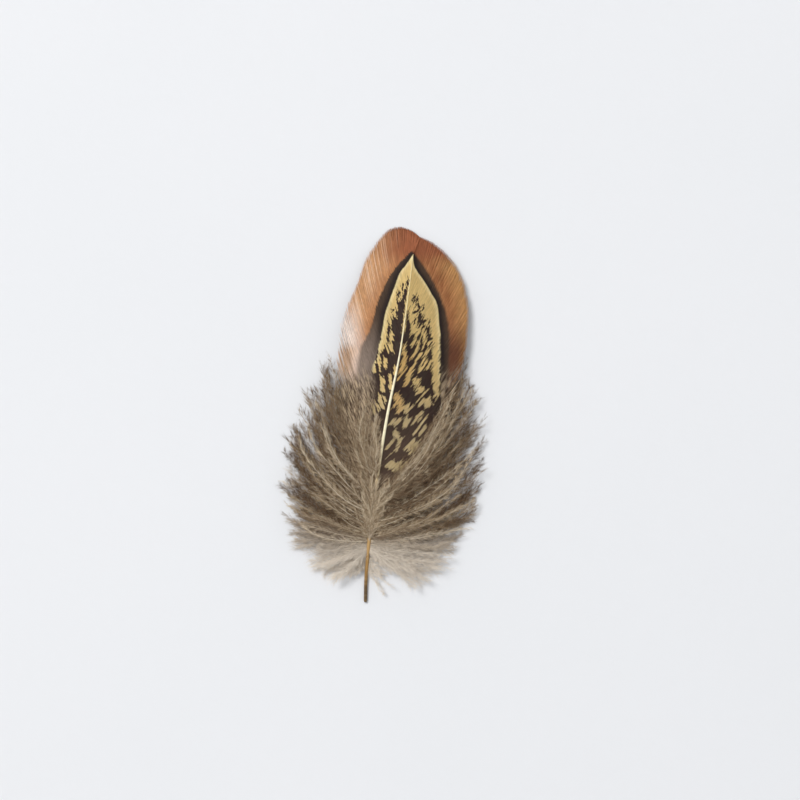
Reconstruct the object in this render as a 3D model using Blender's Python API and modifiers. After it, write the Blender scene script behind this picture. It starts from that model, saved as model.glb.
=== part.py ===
"""A pheasant's body feather that lies on a flat surface with its patterned side up.

Metres, +Z up. The vane's tip points along +Y and the bare quill along -Y, and the surface
that the feather lies on is z = 0. The origin is under the middle of the feather's box.
The feather grew as one piece, so its shaft, vanes and down locks are joined into one solid.
"""

import bpy
import bmesh
import numpy as np

MM = 0.001

# The feather is 75.5 mm from the quill's end to the top of its vane, and 42 mm across its down.
HALF_LENGTH = 37.75
DOWN_REACH = 21.0
REST_PLANE_DEPTH = 4.0

# The shaft's middle line, as (y, x, z) in mm: a slight S in plan, and an arch from the side.
SHAFT_LINE = (
    (-HALF_LENGTH, -3.74, 0.22),
    (-34.0, -3.66, 0.30),
    (-24.0, -2.84, 1.90),
    (-12.0, -1.25, 3.70),
    (0.0, 0.72, 4.60),
    (12.0, 3.15, 4.50),
    (22.0, 4.60, 3.60),
    (32.0, 5.85, 1.90),
)
# Its half thickness, as (y, radius) in mm.
SHAFT_RADIUS = (
    (-HALF_LENGTH, 0.24),
    (-36.9, 0.37),
    (-20.0, 0.40),
    (0.0, 0.33),
    (20.0, 0.22),
    (32.0, 0.15),
)
SHAFT_RINGS = 30
SHAFT_SECTION_RESOLUTION = 2

# Barbs of each vane, as (y of the root on the shaft, x and y of the barb's outer end) in mm.
LEFT_VANE = (
    (-17.2, -4.6, -14.2),
    (-13.6, -7.4, -8.6),
    (-10.6, -9.0, -2.0),
    (-8.0, -9.6, 5.0),
    (-5.0, -9.4, 12.6),
    (-1.6, -8.7, 18.2),
    (2.6, -7.3, 22.2),
    (8.2, -5.6, 25.9),
    (16.4, -3.6, 31.4),
    (23.0, -1.3, 34.8),
    (27.0, 0.8, 37.1),
    (29.0, 2.8, HALF_LENGTH),
    (30.4, 4.8, 37.3),
    (31.2, 6.2, 36.5),
    (31.8, 7.2, 35.4),
)
RIGHT_VANE = (
    (-17.2, 1.6, -14.6),
    (-14.4, 6.6, -9.8),
    (-11.6, 10.8, -4.4),
    (-8.8, 13.8, 1.6),
    (-6.2, 15.7, 8.4),
    (-3.6, 16.7, 15.0),
    (0.4, 17.0, 20.6),
    (7.2, 16.2, 26.0),
    (13.6, 14.4, 30.0),
    (19.2, 11.9, 32.5),
    (25.2, 9.3, 34.5),
    (31.8, 7.2, 35.3),
)
VANE_THICKNESS = 0.55
VANE_RIBS = 26
VANE_CELLS = 6
VANE_BOW = 0.10
VANE_CROWN = 0.7
VANE_ROOT_OVERLAP = 0.2
# Height of the vane's outer edge, as (y, z) in mm.
VANE_EDGE_HEIGHT = ((-16.0, 2.6), (0.0, 2.5), (18.0, 2.0), (30.0, 1.0), (HALF_LENGTH, 0.10))
# The left vane lies over the right one where they meet beyond the shaft's tip.
LEFT_VANE_LIFT = 0.12

# Tips of the down along each side, as (y of the root, x and y of the tip) in mm.
LEFT_DOWN = (
    (-27.4, -10.6, -34.0),
    (-25.8, -15.4, -29.8),
    (-24.4, -18.8, -24.8),
    (-22.6, -20.6, -18.8),
    (-20.2, -DOWN_REACH, -12.8),
    (-17.2, -20.6, -6.8),
    (-13.6, -19.4, -1.2),
    (-9.6, -17.2, 4.0),
    (-5.6, -14.4, 8.8),
    (-2.2, -11.4, 13.6),
)
RIGHT_DOWN = (
    (-27.4, 6.8, -35.2),
    (-25.8, 12.6, -31.0),
    (-24.4, 16.4, -26.2),
    (-22.6, 19.2, -20.2),
    (-20.2, 20.6, -13.8),
    (-17.2, DOWN_REACH, -7.6),
    (-13.6, 20.6, -2.0),
    (-9.6, 19.8, 3.2),
    (-5.6, 18.6, 7.8),
    (-2.2, 17.6, 12.4),
)
# Layers of locks, each as (locks to a side, how far up the rows of tips they go, share of the
# full reach, height gained midway, height of the tip, half width, drop of the root), in mm.
# The lowest layer droops to the surface and passes under the vanes.
LOCK_LAYERS = (
    (17, 1.0, 1.0, 0.7, 0.02, 1.45, 0.5),
    (12, 0.66, 0.86, 3.8, 1.5, 1.35, 0.0),
)
LOCK_RINGS = 7
LOCK_SIDES = 6
LOCK_FLATNESS = 0.42
LOCK_BOW = 0.13
LOCK_REACH_STEPS = (1.0, 0.9, 0.97, 0.86)
# Half width along a lock, as (share of the length, share of the widest).
LOCK_TAPER = ((0.0, 0.35), (0.2, 0.8), (0.5, 1.0), (0.8, 0.62), (1.0, 0.06))

VANE_COPPER = (0.42, 0.15, 0.06)


def smooth(table, at):
    """The columns after the first of a table, read on a smooth curve that never overshoots its rows."""
    rows = np.array(table, float)
    place = rows[:, 0]
    rise = np.diff(rows[:, 1:], axis=0) / np.diff(place)[:, None]
    before, after = rise[:-1], rise[1:]
    turning = before * after <= 0
    total = np.where(turning, 1.0, before + after)
    inner = np.where(turning, 0.0, 2 * before * after / total)
    slope = np.vstack((rise[:1], inner, rise[-1:]))
    row = np.clip(np.searchsorted(place, at) - 1, 0, len(place) - 2)
    span = place[row + 1] - place[row]
    t = np.clip((at - place[row]) / span, 0.0, 1.0)
    keep = 2 * t**3 - 3 * t**2 + 1
    return (
        keep * rows[row, 1:]
        + (1 - keep) * rows[row + 1, 1:]
        + (t**3 - 2 * t**2 + t) * span * slope[row]
        + (t**3 - t**2) * span * slope[row + 1]
    )


def shaft_point(y):
    """The shaft's middle line at this y, in mm."""
    x, z = smooth(SHAFT_LINE, y)
    return np.array((x, y, z))


def bent_barb(root, tip, side, bow, crown, share):
    """A point on a barb that leaves the shaft wide and bends towards the vane's tip."""
    across = tip - root
    outward = np.array((side * across[1], -side * across[0], 0.0))
    middle = (root + tip) / 2 + bow * outward + np.array((0.0, 0.0, crown))
    return (1 - share) ** 2 * root + 2 * share * (1 - share) * middle + share**2 * tip


def add_object(name, mesh, collection):
    made = bpy.data.objects.new(name, mesh)
    collection.objects.link(made)
    return made


def tube_mesh(name, points, radii, section=None):
    """A closed mesh tube along a line of points in mm, with a radius at each."""
    curve = bpy.data.curves.new(name, "CURVE")
    curve.dimensions = "3D"
    curve.twist_mode = "Z_UP"
    curve.use_fill_caps = True
    if section:
        curve.bevel_mode = "OBJECT"
        curve.bevel_object = section
    else:
        curve.bevel_depth = MM
        curve.bevel_resolution = SHAFT_SECTION_RESOLUTION
    spline = curve.splines.new("POLY")
    spline.points.add(len(points) - 1)
    for spot, place, radius in zip(spline.points, points, radii):
        spot.co = (*(place * MM), 1.0)
        spot.radius = radius
    guide = add_object(name, curve, bpy.context.scene.collection)
    graph = bpy.context.evaluated_depsgraph_get()
    mesh = bpy.data.meshes.new_from_object(guide.evaluated_get(graph))
    bpy.data.objects.remove(guide)
    cage = bmesh.new()
    cage.from_mesh(mesh)
    bmesh.ops.remove_doubles(cage, verts=cage.verts, dist=1e-6)
    bmesh.ops.recalc_face_normals(cage, faces=cage.faces)
    cage.to_mesh(mesh)
    cage.free()
    return mesh


def make_shaft(collection):
    """The quill and the tapering shaft."""
    ends = SHAFT_LINE[0][0], SHAFT_LINE[-1][0]
    stations = np.linspace(*ends, SHAFT_RINGS)
    points = [shaft_point(y) for y in stations]
    radii = [float(smooth(SHAFT_RADIUS, y)[0]) for y in stations]
    return add_object("feather", tube_mesh("feather", points, radii), collection)


def make_vane(name, barbs, side, lift, collection):
    """A thin cambered plate whose ribs follow the barbs of one vane."""
    cage = bmesh.new()
    bmesh.ops.create_grid(cage, x_segments=VANE_RIBS, y_segments=VANE_CELLS, size=0.5)
    for vert in cage.verts:
        station = vert.co.x + 0.5
        share = vert.co.y + 0.5
        y = barbs[0][0] + station * (barbs[-1][0] - barbs[0][0])
        root = shaft_point(y) - np.array((side * VANE_ROOT_OVERLAP, 0.0, 0.0))
        tip_x, tip_y = smooth(barbs, y)
        edge_z = smooth(VANE_EDGE_HEIGHT, tip_y)[0]
        tip = np.array((tip_x, tip_y, edge_z))
        place = bent_barb(root, tip, side, VANE_BOW, VANE_CROWN * (1 - station), share)
        place[2] += lift * station
        vert.co = place * MM
    bmesh.ops.recalc_face_normals(cage, faces=cage.faces)
    mesh = bpy.data.meshes.new(name)
    cage.to_mesh(mesh)
    cage.free()
    vane = add_object(name, mesh, collection)
    wall = vane.modifiers.new("thickness", "SOLIDIFY")
    wall.thickness = VANE_THICKNESS * MM
    wall.offset = 0.0
    return vane


def make_lock_section(collection):
    """The flat oval that every lock's cross-section is scaled from."""
    curve = bpy.data.curves.new("lock_section", "CURVE")
    curve.dimensions = "2D"
    spline = curve.splines.new("POLY")
    spline.points.add(LOCK_SIDES - 1)
    spline.use_cyclic_u = True
    for turn, spot in zip(np.arange(LOCK_SIDES) / LOCK_SIDES * 2 * np.pi, spline.points):
        spot.co = (np.cos(turn) * MM, LOCK_FLATNESS * np.sin(turn) * MM, 0.0, 1.0)
    section = add_object("lock_section", curve, collection)
    section.hide_render = True
    return section


def make_locks(tips, side, layer, section, collection):
    """One layer of tapered down locks along one side of the shaft."""
    count, top, reach, gain, tip_height, half_width, drop = layer
    roots = [row[0] for row in tips]
    for number in range(count):
        station = number / (count - 1) * top
        y = np.interp(station * (len(roots) - 1), np.arange(len(roots)), roots)
        root = shaft_point(y) - np.array((0.0, 0.0, drop))
        full = np.array((*smooth(tips, y), tip_height))
        widest = reach == 1.0 and abs(full[0]) > DOWN_REACH - 0.2
        step = 1.0 if widest else LOCK_REACH_STEPS[number % len(LOCK_REACH_STEPS)]
        tip = root + (full - root) * reach * step
        tip[2] = tip_height
        bow = LOCK_BOW * min(1.0, 4.0 * station - 0.2)
        shares = np.linspace(0.0, 1.0, LOCK_RINGS)
        points = [bent_barb(root, tip, side, bow, gain, share) for share in shares]
        radii = [half_width * float(smooth(LOCK_TAPER, share)[0]) for share in shares]
        place = "left" if side < 0 else "right"
        name = f"lock_{place}_{int(100 * reach)}_{number}"
        add_object(name, tube_mesh(name, points, radii, section), collection)


def make_rest_cutter(collection):
    """A block under the surface, which leaves a flat where the feather touches it."""
    cage = bmesh.new()
    bmesh.ops.create_cube(cage, size=1.0)
    bmesh.ops.scale(cage, vec=(0.1, 0.1, REST_PLANE_DEPTH * MM), verts=cage.verts)
    bmesh.ops.translate(cage, vec=(0.0, 0.0, -REST_PLANE_DEPTH * MM / 2), verts=cage.verts)
    mesh = bpy.data.meshes.new("rest_cutter")
    cage.to_mesh(mesh)
    cage.free()
    return add_object("rest_cutter", mesh, collection)


def feather_material():
    """Copper-brown keratin with a low sheen."""
    material = bpy.data.materials.new("feather")
    material.use_nodes = True
    shader = material.node_tree.nodes["Principled BSDF"]
    shader.inputs["Base Color"].default_value = (*VANE_COPPER, 1.0)
    shader.inputs["Roughness"].default_value = 0.6
    shader.inputs["Metallic"].default_value = 0.0
    return material


def new_collection(name, hidden):
    collection = bpy.data.collections.new(name)
    collection.hide_render = hidden
    bpy.context.scene.collection.children.link(collection)
    return collection


def main():
    for old in list(bpy.data.objects):
        bpy.data.objects.remove(old)
    whole = new_collection("pheasant_feather", False)
    joined = new_collection("joined_shapes", True)
    cutters = new_collection("cutters", True)
    feather = make_shaft(whole)
    make_vane("vane_left", LEFT_VANE, -1, LEFT_VANE_LIFT, joined)
    make_vane("vane_right", RIGHT_VANE, 1, 0.0, joined)
    section = make_lock_section(cutters)
    for layer in LOCK_LAYERS:
        make_locks(LEFT_DOWN, -1, layer, section, joined)
        make_locks(RIGHT_DOWN, 1, layer, section, joined)
    rest_cutter = make_rest_cutter(cutters)
    for helper in (*joined.objects, rest_cutter):
        helper.hide_render = True
        helper.display_type = "WIRE"
    union = feather.modifiers.new("grown_together", "BOOLEAN")
    union.operation = "UNION"
    union.operand_type = "COLLECTION"
    union.collection = joined
    rest = feather.modifiers.new("rest_flats", "BOOLEAN")
    rest.operation = "DIFFERENCE"
    rest.object = rest_cutter
    feather.data.materials.append(feather_material())


main()
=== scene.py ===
"""The looks of a pheasant's body feather, laid out as an add-on and run as a script.

The feather lies on a pale surface, patterned side up, with its tip along +Y. Its shaft, the
barbs of its two vanes and its down are modelled one by one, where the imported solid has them.
"""

from typing import NamedTuple

import bpy
import numpy as np
from bpy.props import FloatProperty, FloatVectorProperty, IntProperty, PointerProperty
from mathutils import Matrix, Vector


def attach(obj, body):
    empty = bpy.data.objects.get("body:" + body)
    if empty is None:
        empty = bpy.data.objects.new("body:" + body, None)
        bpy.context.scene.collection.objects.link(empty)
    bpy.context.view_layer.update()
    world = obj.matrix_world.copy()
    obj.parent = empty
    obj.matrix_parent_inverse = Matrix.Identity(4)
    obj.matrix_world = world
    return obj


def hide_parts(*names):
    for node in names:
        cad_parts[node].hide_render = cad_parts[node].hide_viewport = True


bl_info = {
    "name": "Pheasant feather",
    "version": (1, 0, 0),
    "blender": (4, 5, 0),
    "location": "3D View > Sidebar > Feather",
    "description": "Builds a pheasant's body feather barb by barb",
    "category": "Add Mesh",
}

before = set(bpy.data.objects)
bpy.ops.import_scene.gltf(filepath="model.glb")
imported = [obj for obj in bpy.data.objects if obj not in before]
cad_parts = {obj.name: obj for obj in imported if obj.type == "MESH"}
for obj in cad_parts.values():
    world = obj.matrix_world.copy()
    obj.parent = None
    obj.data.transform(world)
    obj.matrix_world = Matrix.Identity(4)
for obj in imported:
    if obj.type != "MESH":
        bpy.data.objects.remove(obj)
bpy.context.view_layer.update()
NODE = "feather"
BODY = "root"
MM = 0.001
UP = np.array((0.0, 0.0, 1.0))
SEED = 11

# The floor's flat radius, the radius of its rim's bend and the height of its wall, in metres.
FLOOR_RADIUS = 1.6
FLOOR_BEND = 0.8
FLOOR_WALL = 1.3
FLOOR_SIDES = 96
FLOOR_BEND_STEPS = 12
# Daylight from all round, and one soft lamp with its power in W and its width and place in metres.
SKY_COLOUR = (1.0, 0.995, 0.98)
SKY_STRENGTH = 0.5
LAMP_POWER = 38.0
LAMP_WIDTH = 0.96
LAMP_PLACE = (-1.12, 1.04, 1.84)

HALF_LENGTH = 37.75
DOWN_REACH = 21.0

# The shaft's middle line, as (y, x, z) in mm.
SHAFT_LINE = (
    (-HALF_LENGTH, -3.74, 0.30), (-34.0, -3.66, 0.36), (-24.0, -2.84, 1.90), (-12.0, -1.25, 3.70),
    (0.0, 0.72, 4.60), (12.0, 3.15, 4.50), (22.0, 4.60, 3.60), (32.0, 5.85, 1.90),
)
# Its half thickness, as (y, radius) in mm.
SHAFT_RADIUS = (
    (-HALF_LENGTH, 0.27), (-37.2, 0.35), (-20.0, 0.36), (0.0, 0.27), (14.0, 0.15), (24.0, 0.09),
    (32.0, 0.05),
)
SHAFT_RINGS = 220
SHAFT_SIDES = 14

# Barbs of each vane, as (y of the root on the shaft, x and y of the barb's outer end) in mm.
LEFT_VANE = (
    (-20.4, -4.6, -14.2), (-18.8, -7.4, -8.6), (-16.6, -9.0, -2.0), (-13.2, -9.6, 5.0),
    (-9.0, -9.4, 12.6), (-4.6, -8.7, 18.2), (0.2, -7.3, 22.2), (5.2, -5.6, 25.9),
    (10.0, -3.6, 31.4), (15.8, -1.3, 34.8), (20.6, 0.8, 37.1), (24.6, 2.8, HALF_LENGTH),
    (28.2, 4.8, 37.3), (30.4, 6.2, 36.5), (31.8, 7.3, 35.5),
)
RIGHT_VANE = (
    (-20.8, 1.6, -14.6), (-19.8, 6.6, -9.8), (-18.2, 10.8, -4.4), (-15.8, 13.8, 1.6),
    (-11.6, 15.7, 8.4), (-6.4, 16.7, 15.0), (-1.2, 17.0, 20.6), (5.0, 16.2, 26.0),
    (11.3, 14.4, 30.0), (16.4, 11.9, 32.9), (22.4, 9.3, 34.8), (31.8, 6.4, 36.0),
)
VANE_BOW = 0.06
VANE_CROWN = 0.7
VANE_EDGE_HEIGHT = ((-16.0, 2.6), (0.0, 2.5), (18.0, 2.0), (30.0, 1.0), (HALF_LENGTH, 0.10))
LEFT_VANE_LIFT = 0.04
VANE_STEPS = 56
# Where the left and the right edge begin to fray, and where they are loosest, in mm along y.
FRAY = ((25.0, 14.0), (14.0, 6.0))
# Barbs cling together in runs of the first number to one less than the second.
CLING_RUNS = (3, 9)
# About how far barb ends stray along x, y and z, in mm. Loose ones stray further.
BARB_STRAY = (0.07, 0.04, 0.07)
# The narrowest and widest spacing that barbs fill, in mm, and how much wider than it they are.
BARB_SPACING = (0.07, 0.38)
BARB_OVERLAP = 1.75
# Corners of a barb's cross-section, as shares of its width and of its ridge's height, and how
# far it is turned about its length, in radians.
BARB_SECTION = ((-0.5, -0.2), (0.5, -0.2), (0.04, 0.5))
BARB_ROLL = 0.06
# Share of the barbs' spacing that follows the vane's edge, the rest following the shaft.
EDGE_SPACING_SHARE = 0.7

# Tips of the down along each side, as (y of the root, x and y of the tip) in mm.
LEFT_DOWN = (
    (-27.6, -10.6, -34.0), (-26.8, -15.4, -29.8), (-25.9, -18.8, -24.8), (-24.9, -20.6, -18.8),
    (-23.5, -DOWN_REACH, -12.8), (-21.8, -20.6, -6.8), (-19.6, -19.4, -1.2), (-17.2, -17.2, 4.0),
    (-14.6, -14.4, 8.8), (-12.0, -11.4, 13.6),
)
RIGHT_DOWN = (
    (-27.6, 6.8, -35.2), (-26.8, 12.6, -31.0), (-25.9, 16.4, -26.2), (-24.9, 19.2, -20.2),
    (-23.5, 20.6, -13.8), (-21.8, DOWN_REACH, -7.6), (-19.6, 20.6, -2.0), (-17.2, 19.8, 3.2),
    (-14.6, 18.6, 7.8), (-12.0, 17.6, 12.4),
)
# The upper layer's fans end over the vane's lower sides.
LEFT_COVER = LEFT_DOWN[:-2] + (
    (-16.6, -13.6, 8.4), (-16.2, -11.0, 10.8), (-15.8, -8.8, 11.4), (-15.4, -7.0, 10.4),
    (-15.0, -5.4, 8.4), (-14.6, -3.8, 6.4), (-14.2, -2.4, 4.2), (-13.8, -1.2, 2.0),
    (-13.2, -1.2, -1.6),
)
RIGHT_COVER = RIGHT_DOWN[:-3] + (
    (-18.8, 19.8, 3.2), (-18.4, 18.4, 7.4), (-18.1, 16.2, 8.4), (-17.8, 14.2, 3.4),
    (-17.6, 13.0, -3.2), (-17.4, 11.2, -9.2),
)
# How wide the vane is beside the shaft where the upper layer lies on it, left and right, in mm.
COVER_REACH = (9.5, 16.0)
# How far above the vane the upper layer's tips lie, in mm.
COVER_GAP = 0.3
DOWN_BOW = 0.15
DOWN_STEPS = 16
STEM_RADIUS = 0.065
STEM_SIDES = 3
# The longest stems end at this share of the way to the down's outline, which their hairs reach.
STEM_END = 0.96
# About how far barbs of the tufts and of the short down wander along x, y and z, in mm.
TUFT_SWING = (0.45, 0.45, 0.3)
FRONT_SWING = (0.3, 0.2, 0.1)
# Where down in front of the shaft is rooted, from and to, in mm along y.
FRONT_ROOTS = (-25.2, -17.0)
# The same for the pale barbs round the quill, most of which point away from the vane.
BASE_ROOTS = (-31.5, -27.0)
# How far both kinds turn from the shaft's direction, in radians, and how long they are, in mm.
FRONT_TURN = (-0.45, 0.8)
BASE_TURN = (1.2, 2.75)
FRONT_LENGTH = (3.5, 7.5)
# Corners of a hair's two faces, where 0 is its start, 2 its end, and 1 and 3 its brims.
HAIR_FACES = ((0, 1, 3), (2, 3, 1))
# Hairs that cling together, how far apart they start along the barb, and how far their ends part, in mm.
CLUMP = 6
CLUMP_START = 0.16
CLUMP_END = 0.1
# How far a hair leans from its barb, in radians, and how much less at the barb's end.
HAIR_LEAN = 0.84
HAIR_LEAN_LESS = 0.36
# How much shorter and thinner hairs are at the barb's end, as shares.
HAIR_SHORTER = 0.3
HAIR_THINNER = 0.1
# Nothing of the down is higher than this, in mm.
LOFT_TOP = 4.9

# Edges of the almond mark and of the dark band round it, as (y, x) in mm.
ALMOND_LEFT = (
    (-14.0, -3.4), (4.0, -3.1), (7.6, -2.76), (11.9, -1.42), (13.8, -1.0), (17.3, -0.2),
    (19.7, 0.2), (22.6, 1.12), (25.6, 2.2), (28.0, 3.1), (30.0, 4.5), (31.9, 5.75),
)
ALMOND_RIGHT = (
    (-14.0, 6.2), (-8.4, 7.4), (-6.4, 8.1), (-5.2, 9.4), (-3.2, 11.1), (0.0, 11.4), (5.2, 11.3),
    (15.4, 11.3), (18.1, 11.0), (20.8, 10.8), (24.2, 9.4), (26.9, 7.8), (28.8, 6.5), (30.1, 5.94),
    (31.9, 5.78),
)
BAND_LEFT = (
    (-14.0, -5.0), (4.0, -5.6), (9.2, -5.3), (11.4, -5.0), (13.5, -4.5), (15.4, -3.4), (17.5, -2.5),
    (22.1, -1.3), (24.8, -0.2), (27.4, 1.1), (30.1, 3.0), (31.5, 4.4), (32.6, 5.4),
)
BAND_RIGHT = (
    (-14.0, 7.0), (-9.0, 9.0), (-5.0, 11.9), (4.0, 12.6), (11.6, 12.9), (15.9, 13.0), (18.9, 12.6),
    (21.8, 11.8), (24.5, 10.8), (27.2, 9.4), (30.1, 7.56), (31.5, 6.5), (32.6, 5.7),
)

# Places along y, in mm, between which one tone of the vane or of the down turns into the next.
SUMMIT = (30.5, 34.5)
RIM_SHADE_TOP = (12.0, 20.0)
PINK_TOP = (9.0, 16.0)
AMBER_FOOT = (6.0, 9.0)
AMBER_TOP = (14.6, 12.4)
FLANK_TOP = (2.0, 8.0)
BAND_FADE = (9.0, 21.0)
BAND_TOP = (32.2, 33.2)
ALMOND_SOFT = (4.0, 12.0)
ALMOND_TOP = (31.8, 32.0)
OCHRE_FOOT = (-2.0, 2.0)
OCHRE_TOP = (14.0, 11.0)
BUFF_TURN = (-3.0, 10.0)
INK_TURN = (-8.0, 4.0)
WISPS_TOP = (10.0, 5.0)
VANE_FOOT = (-14.4, -11.4)
PALE_DOWN_TOP = (-27.2, -24.4)
# The same along x, between the tones of the vane's left side and those of its right.
SIDES = (3.0, 8.0)

# Strokes of the mottling, as (x and y of one end, x and y of the other, half width), read
# in pixels of a frame of 800 pixels that looks straight down on the feather.
PIXEL = 0.2
FRAME_ZERO = (384.0, 414.25)
# Rows of that frame between which the mottling's ground turns from pale to dark.
MOTTLE_START = 318.0
MOTTLE_FULL = 346.0
DARK_GROUND = (
    (405.9, 291.3, 403.2, 304.6, 1.9), (403.2, 300.2, 401.9, 318.0, 2.3),
    (401.0, 306.0, 399.6, 327.0, 2.8), (394.7, 319.4, 394.7, 331.0, 2.4),
    (397.6, 325.0, 396.5, 336.0, 3.4), (391.4, 328.0, 389.4, 331.6, 2.0),
    (388.4, 335.2, 388.9, 340.3, 2.0), (396.5, 339.3, 395.5, 355.6, 2.6),
    (385.3, 353.6, 391.4, 361.7, 3.4), (391.4, 361.7, 386.8, 370.9, 5.0),
    (380.2, 370.9, 377.7, 391.3, 2.6), (386.3, 378.6, 387.3, 401.5, 2.6),
    (407.2, 320.3, 409.0, 330.0, 2.0), (408.8, 330.1, 409.3, 341.8, 3.1),
    (420.2, 315.8, 419.3, 327.0, 1.9), (419.5, 325.0, 418.5, 330.0, 1.8),
    (428.2, 329.6, 429.7, 338.8, 2.1), (430.2, 346.4, 430.7, 357.7, 2.1),
    (410.8, 348.0, 410.3, 353.6, 4.0), (410.3, 355.6, 409.3, 363.8, 2.5),
)
PALE_MARKS = (
    (391.9, 333.2, 391.9, 339.3, 1.8), (390.9, 342.3, 392.4, 351.0, 1.5),
    (384.8, 341.8, 389.4, 353.6, 0.9), (386.8, 341.8, 389.9, 347.4, 0.8),
    (385.3, 320.0, 384.8, 335.2, 2.6), (384.3, 336.2, 380.7, 351.5, 2.4),
    (377.7, 355.1, 379.7, 368.4, 1.1), (379.7, 355.6, 381.5, 362.8, 0.7),
    (385.8, 360.2, 385.8, 367.3, 1.9), (373.6, 359.7, 374.0, 370.9, 2.0),
    (382.2, 377.6, 382.8, 389.8, 2.2), (395.5, 368.4, 395.0, 374.0, 1.7),
    (390.4, 376.0, 390.4, 388.3, 1.8), (379.7, 394.9, 380.2, 401.5, 1.6),
    (414.4, 327.0, 413.4, 335.2, 2.8), (421.5, 326.0, 419.0, 329.6, 0.9),
    (419.0, 331.6, 415.4, 337.8, 1.1), (423.0, 332.7, 425.6, 340.3, 1.9),
    (413.9, 341.8, 410.8, 346.9, 1.6), (419.0, 340.3, 417.4, 349.0, 1.4),
    (429.7, 341.8, 427.1, 345.4, 1.2), (424.6, 344.4, 422.6, 348.5, 1.0),
    (428.2, 349.5, 424.6, 355.1, 1.6), (417.4, 349.5, 411.8, 357.7, 1.3),
    (421.0, 353.6, 415.9, 361.7, 1.6), (424.0, 358.7, 419.0, 368.9, 1.1),
    (427.1, 360.2, 419.0, 372.4, 1.1), (430.7, 361.2, 426.1, 369.9, 1.1),
    (404.7, 356.6, 403.2, 365.8, 2.5), (402.7, 367.3, 400.6, 371.0, 1.8),
    (407.8, 366.8, 398.6, 378.6, 0.9), (415.4, 362.8, 412.3, 367.9, 1.0),
    (410.8, 369.9, 407.8, 376.0, 2.3), (408.8, 378.6, 404.7, 384.7, 2.2),
    (412.9, 380.1, 418.0, 381.1, 2.0), (414.9, 383.2, 420.5, 389.8, 2.4),
    (424.0, 388.3, 415.9, 394.4, 1.2), (426.6, 390.3, 417.4, 401.5, 1.0),
    (403.7, 346.4, 403.2, 353.6, 1.6), (435.8, 325.0, 435.8, 384.0, 3.7),
    (434.8, 386.0, 435.8, 391.3, 2.4), (435.8, 394.9, 433.3, 397.4, 1.2),
    (437.9, 394.4, 435.8, 400.5, 1.0), (396.5, 396.5, 401.6, 407.8, 3.3),
    (398.6, 410.0, 398.6, 412.4, 1.6), (395.0, 404.2, 393.5, 407.2, 1.1),
    (407.8, 405.2, 405.7, 410.8, 1.8), (413.4, 405.2, 407.2, 411.3, 1.1),
    (424.0, 399.6, 419.0, 405.2, 1.6), (427.7, 400.1, 428.7, 405.7, 2.0),
    (425.1, 402.7, 425.6, 407.8, 1.7), (429.2, 397.0, 427.7, 400.0, 1.0),
    (394.0, 419.5, 388.9, 425.6, 1.4), (400.6, 418.5, 395.5, 423.6, 1.9),
    (405.7, 419.0, 405.2, 425.6, 2.3), (410.3, 419.0, 403.2, 427.1, 1.2),
    (421.0, 413.4, 416.4, 417.4, 1.7), (415.4, 419.5, 411.3, 425.1, 1.1),
    (421.0, 418.0, 417.4, 421.5, 1.1), (426.6, 416.4, 423.6, 420.5, 1.2),
    (422.0, 422.6, 413.9, 433.8, 1.2), (425.6, 426.1, 420.0, 433.8, 1.7),
    (430.7, 427.7, 426.1, 433.8, 0.9), (395.0, 432.2, 396.5, 436.8, 2.7),
    (401.1, 438.9, 400.6, 440.0, 1.2), (392.4, 440.9, 385.8, 449.1, 1.4),
    (398.6, 441.4, 396.5, 449.1, 2.0), (394.0, 449.1, 388.9, 454.7, 1.1),
    (414.9, 438.9, 404.2, 449.1, 1.2), (413.9, 444.0, 412.3, 449.1, 4.0),
    (419.0, 443.0, 420.0, 447.0, 2.2), (419.5, 450.1, 412.9, 456.7, 1.1),
    (394.5, 462.9, 398.6, 463.9, 2.3), (408.8, 460.8, 403.2, 465.9, 1.9),
    (413.4, 459.8, 410.8, 461.8, 1.5), (420.5, 457.8, 416.4, 462.9, 1.1),
    (411.8, 466.4, 415.9, 470.5, 3.2), (392.0, 466.0, 402.0, 470.0, 2.6),
    (384.5, 397.0, 385.8, 402.0, 1.3), (381.0, 400.5, 383.0, 407.0, 1.9),
    (377.0, 403.0, 379.0, 410.0, 1.3), (373.0, 405.0, 375.2, 413.0, 1.7),
    (386.5, 466.0, 392.0, 461.5, 1.8), (399.0, 463.5, 403.0, 460.5, 1.3),
)
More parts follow.
